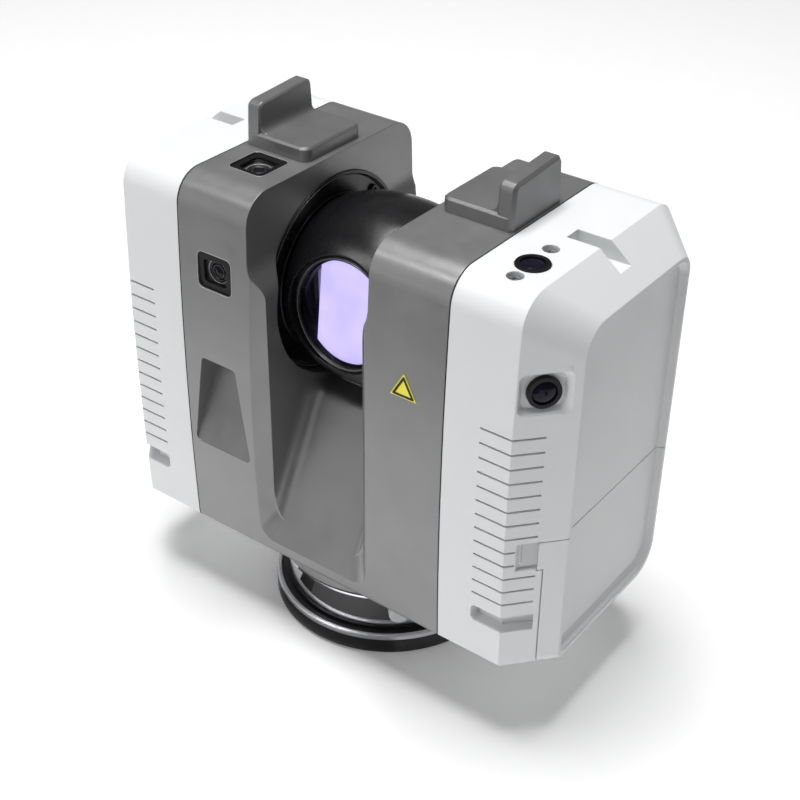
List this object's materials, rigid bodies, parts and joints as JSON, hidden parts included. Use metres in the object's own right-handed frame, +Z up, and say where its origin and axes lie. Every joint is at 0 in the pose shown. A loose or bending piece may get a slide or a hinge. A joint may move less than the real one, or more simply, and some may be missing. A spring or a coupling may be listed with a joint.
{
  "type": "terrestrial laser scanner",
  "caption": "U-shaped instrument head with a spinning mirror rotor between two pillars, white side covers, battery door and a turning base with a tripod thread.",
  "frame": {"origin": "on the vertical turning axis, at the underside of the base plate, which is also the mouth of the tripod thread", "axes": "+Z up along the turning axis, X along the elevation axis from the display side (-X) to the battery side (+X), -Y is the front that the picture shows"},
  "size_m": [0.242, 0.12, 0.2436],
  "materials": {
    "grey_paint": "satin grey paint on cast aluminium",
    "white_shell": "satin white moulded shell",
    "black_paint": "satin black anodised surface",
    "black_plastic": "fine matt black",
    "seal_rubber": "thin dark seal",
    "coated_glass": "coated optical glass with a lavender sheen",
    "lens_glass": "dark coated lens",
    "mirror_coat": "first-surface mirror",
    "polished_steel": "polished",
    "bright_ring": "turned aluminium",
    "bare_aluminium": "machined aluminium",
    "bearing_steel": "ground steel",
    "screw_steel": "blackened steel",
    "copper_winding": "lacquered copper windings",
    "magnet": "nickel-coated magnet",
    "warning_print": "yellow plate with a black border, blank",
    "button_grey": "light grey moulded",
    "circuit_board": "green board with dark chips",
    "battery_case": "dark grey case",
    "display_face": "dark display glass"
  },
  "bodies": {
    "base": {"base_plate": "black_paint", "rim_ring": "bright_ring", "thread_insert": "bearing_steel", "base_drum": "polished_steel", "azimuth_bearing_outer": "bearing_steel", "azimuth_motor_stator": "copper_winding"},
    "release_button": {"release_button": "button_grey"},
    "mirror_rotor": {"rotor_shell": "black_paint", "window_ring": "black_paint", "window_glass": "coated_glass", "mirror_plate": "mirror_coat", "mirror_mount": "black_paint", "rotor_shafts": "bearing_steel", "elevation_inner_races": "bearing_steel", "motor_magnets": "magnet", "encoder_disc": "display_face"},
    "battery_door": {"battery_door": "white_shell", "door_hinge_pin": "bearing_steel"},
    "door_latch": {"door_latch": "button_grey"},
    "fan_rotor": {"fan_rotor": "black_plastic"},
    "power_button": {"power_button": "button_grey"},
    "port_cover": {"port_cover": "seal_rubber"},
    "head": {"azimuth_bearing_balls": "bearing_steel", "azimuth_bearing_inner": "bearing_steel", "swivel_skirt": "grey_paint", "azimuth_spindle": "bearing_steel", "azimuth_magnet_ring": "magnet", "skirt_screws": "screw_steel", "yoke": "grey_paint", "fin_blocks": "grey_paint", "gaskets": "seal_rubber", "camera_windows": "black_plastic", "camera_barrels": "black_plastic", "camera_lenses": "lens_glass", "warning_plate": "warning_print", "bearing_flanges": "black_paint", "flange_screws": "screw_steel", "elevation_outer_races": "bearing_steel", "elevation_balls": "bearing_steel", "motor_housing": "bare_aluminium", "motor_stator": "copper_winding", "encoder_reader": "black_plastic", "laser_module": "bare_aluminium", "collimator_lens": "lens_glass", "right_cover": "white_shell", "left_cover": "white_shell", "cover_screws": "screw_steel", "tracking_housings": "black_plastic", "tracking_lenses": "lens_glass", "inner_plates": "bare_aluminium", "battery_bay": "black_plastic", "batteries": "battery_case", "main_board": "circuit_board", "fan_housing": "black_plastic", "heat_sink": "bare_aluminium", "antenna": "circuit_board", "display_bezel": "black_plastic", "display_glass": "display_face", "port_hinge": "black_plastic", "port_sockets": "black_plastic"}
  },
  "joints": [
    {"name": "azimuth_turn", "type": "hinge", "parent": "base", "child": "head", "pos_m": [0, 0, 0.0218], "axis": [0, 0, 1], "continuous": true},
    {"name": "release_press", "type": "slide", "parent": "base", "child": "release_button", "axis": [-0.6717, 0.7408, 0], "range_m": [0, 0.0018], "stiffness_N_per_m": 900, "springref_m": -0.0015},
    {"name": "mirror_spin", "type": "hinge", "parent": "head", "child": "mirror_rotor", "pos_m": [0, 0, 0.1654], "axis": [1, 0, 0], "continuous": true},
    {"name": "battery_door_swing", "type": "hinge", "parent": "head", "child": "battery_door", "pos_m": [0.1174, 0, 0.046], "axis": [0, 1, 0], "range_deg": [0, 52]},
    {"name": "latch_slide", "type": "slide", "parent": "head", "child": "door_latch", "axis": [0, 0, -1], "range_m": [0, 0.0015]},
    {"name": "fan_spin", "type": "hinge", "parent": "head", "child": "fan_rotor", "pos_m": [0.0934, -0.04, 0.141], "axis": [0, 1, 0], "continuous": true},
    {"name": "power_press", "type": "slide", "parent": "head", "child": "power_button", "axis": [1, 0, 0], "range_m": [0, 0.0012], "stiffness_N_per_m": 600, "springref_m": -0.0012},
    {"name": "port_cover_swing", "type": "hinge", "parent": "head", "child": "port_cover", "pos_m": [-0.1192, 0.014, 0.066], "axis": [0, -1, 0], "range_deg": [0, 100]}
  ]
}
